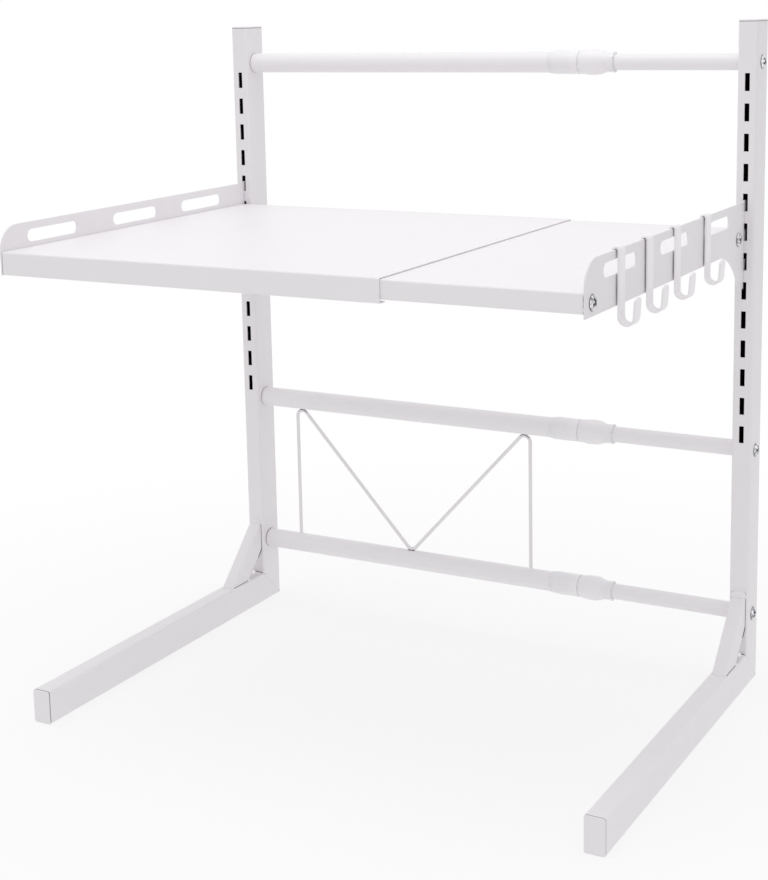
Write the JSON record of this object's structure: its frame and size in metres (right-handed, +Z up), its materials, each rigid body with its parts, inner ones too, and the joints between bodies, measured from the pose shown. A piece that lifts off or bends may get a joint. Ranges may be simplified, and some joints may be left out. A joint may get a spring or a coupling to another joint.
{
  "type": "microwave shelf",
  "caption": "Free-standing shelf over a microwave: L-shaped tube frames, telescopic bars and a width-adjustable sheet shelf with side plates and hooks.",
  "frame": {"origin": "on the floor, under the centre of the whole object's bounding box", "axes": "+Z up, +Y to the back where the posts and bars are, +X to the right where the hooks hang"},
  "size_m": [0.6327, 0.457, 0.694],
  "materials": {
    "white_powder_coat": "satin powder coat",
    "white_shelf_coat": "fine satin coat",
    "hook_coat": "smooth satin coat",
    "cap_plastic": "fine matt moulding",
    "collar_plastic": "milky, slightly translucent moulding",
    "inner_plastic": "plain moulding",
    "zinc_steel": "bright zinc plate"
  },
  "bodies": {
    "left_frame": {"left_post": "white_powder_coat", "left_foot": "white_powder_coat", "left_brace": "white_powder_coat", "left_post_cap": "cap_plastic", "left_foot_cap": "cap_plastic", "outer_tube_top": "white_powder_coat", "outer_tube_middle": "white_powder_coat", "outer_tube_bottom": "white_powder_coat", "collar_sleeve_top": "collar_plastic", "collar_sleeve_middle": "collar_plastic", "collar_sleeve_bottom": "collar_plastic", "clamp_ring_top": "inner_plastic", "clamp_ring_middle": "inner_plastic", "clamp_ring_bottom": "inner_plastic", "left_tube_inserts": "inner_plastic", "left_bar_screws": "zinc_steel", "zigzag_wire": "white_powder_coat"},
    "right_frame": {"right_post": "white_powder_coat", "right_foot": "white_powder_coat", "right_brace": "white_powder_coat", "right_post_cap": "cap_plastic", "right_foot_cap": "cap_plastic", "inner_tube_top": "white_powder_coat", "inner_tube_middle": "white_powder_coat", "inner_tube_bottom": "white_powder_coat", "guide_bush_top": "inner_plastic", "guide_bush_middle": "inner_plastic", "guide_bush_bottom": "inner_plastic", "right_tube_inserts": "inner_plastic", "right_bar_screws": "zinc_steel"},
    "nut_top": {"lock_nut_top": "collar_plastic"},
    "nut_middle": {"lock_nut_middle": "collar_plastic"},
    "nut_bottom": {"lock_nut_bottom": "collar_plastic"},
    "left_shelf": {"left_panel": "white_shelf_coat", "left_side_plate": "white_powder_coat", "left_plate_screws": "zinc_steel", "left_plate_nuts": "zinc_steel"},
    "right_shelf": {"right_panel": "white_shelf_coat", "right_side_plate": "white_powder_coat", "right_plate_screws": "zinc_steel", "right_plate_nuts": "zinc_steel"},
    "hook_1": {"j_hook_1": "hook_coat"},
    "hook_2": {"j_hook_2": "hook_coat"},
    "hook_3": {"j_hook_3": "hook_coat"},
    "hook_4": {"j_hook_4": "hook_coat"}
  },
  "joints": [
    {"name": "frame_width_slide", "type": "slide", "parent": "left_frame", "child": "right_frame", "axis": [1, 0, 0], "range_m": [-0.122, 0.078]},
    {"name": "left_shelf_lift", "type": "slide", "parent": "left_frame", "child": "left_shelf", "axis": [0, 0, 1], "range_m": [0, 0.0062]},
    {"name": "right_shelf_lift", "type": "slide", "parent": "right_frame", "child": "right_shelf", "axis": [0, 0, 1], "range_m": [0, 0.0062]},
    {"name": "nut_top_twist", "type": "hinge", "parent": "left_frame", "child": "nut_top", "pos_m": [0.13445, 0.211, 0.652], "axis": [1, 0, 0], "range_deg": [0, 120]},
    {"name": "nut_middle_twist", "type": "hinge", "parent": "left_frame", "child": "nut_middle", "pos_m": [0.13445, 0.211, 0.2535], "axis": [1, 0, 0], "range_deg": [0, 120]},
    {"name": "nut_bottom_twist", "type": "hinge", "parent": "left_frame", "child": "nut_bottom", "pos_m": [0.13445, 0.211, 0.076], "axis": [1, 0, 0], "range_deg": [0, 120]},
    {"name": "hook_1_lift", "type": "slide", "parent": "right_shelf", "child": "hook_1", "axis": [0, 0, 1], "range_m": [0, 0.01]},
    {"name": "hook_2_lift", "type": "slide", "parent": "right_shelf", "child": "hook_2", "axis": [0, 0, 1], "range_m": [0, 0.01]},
    {"name": "hook_3_lift", "type": "slide", "parent": "right_shelf", "child": "hook_3", "axis": [0, 0, 1], "range_m": [0, 0.01]},
    {"name": "hook_4_lift", "type": "slide", "parent": "right_shelf", "child": "hook_4", "axis": [0, 0, 1], "range_m": [0, 0.01]}
  ],
  "couplings": [
    {"joint": "right_shelf_lift", "follows": "left_shelf_lift", "ratio": 1}
  ]
}
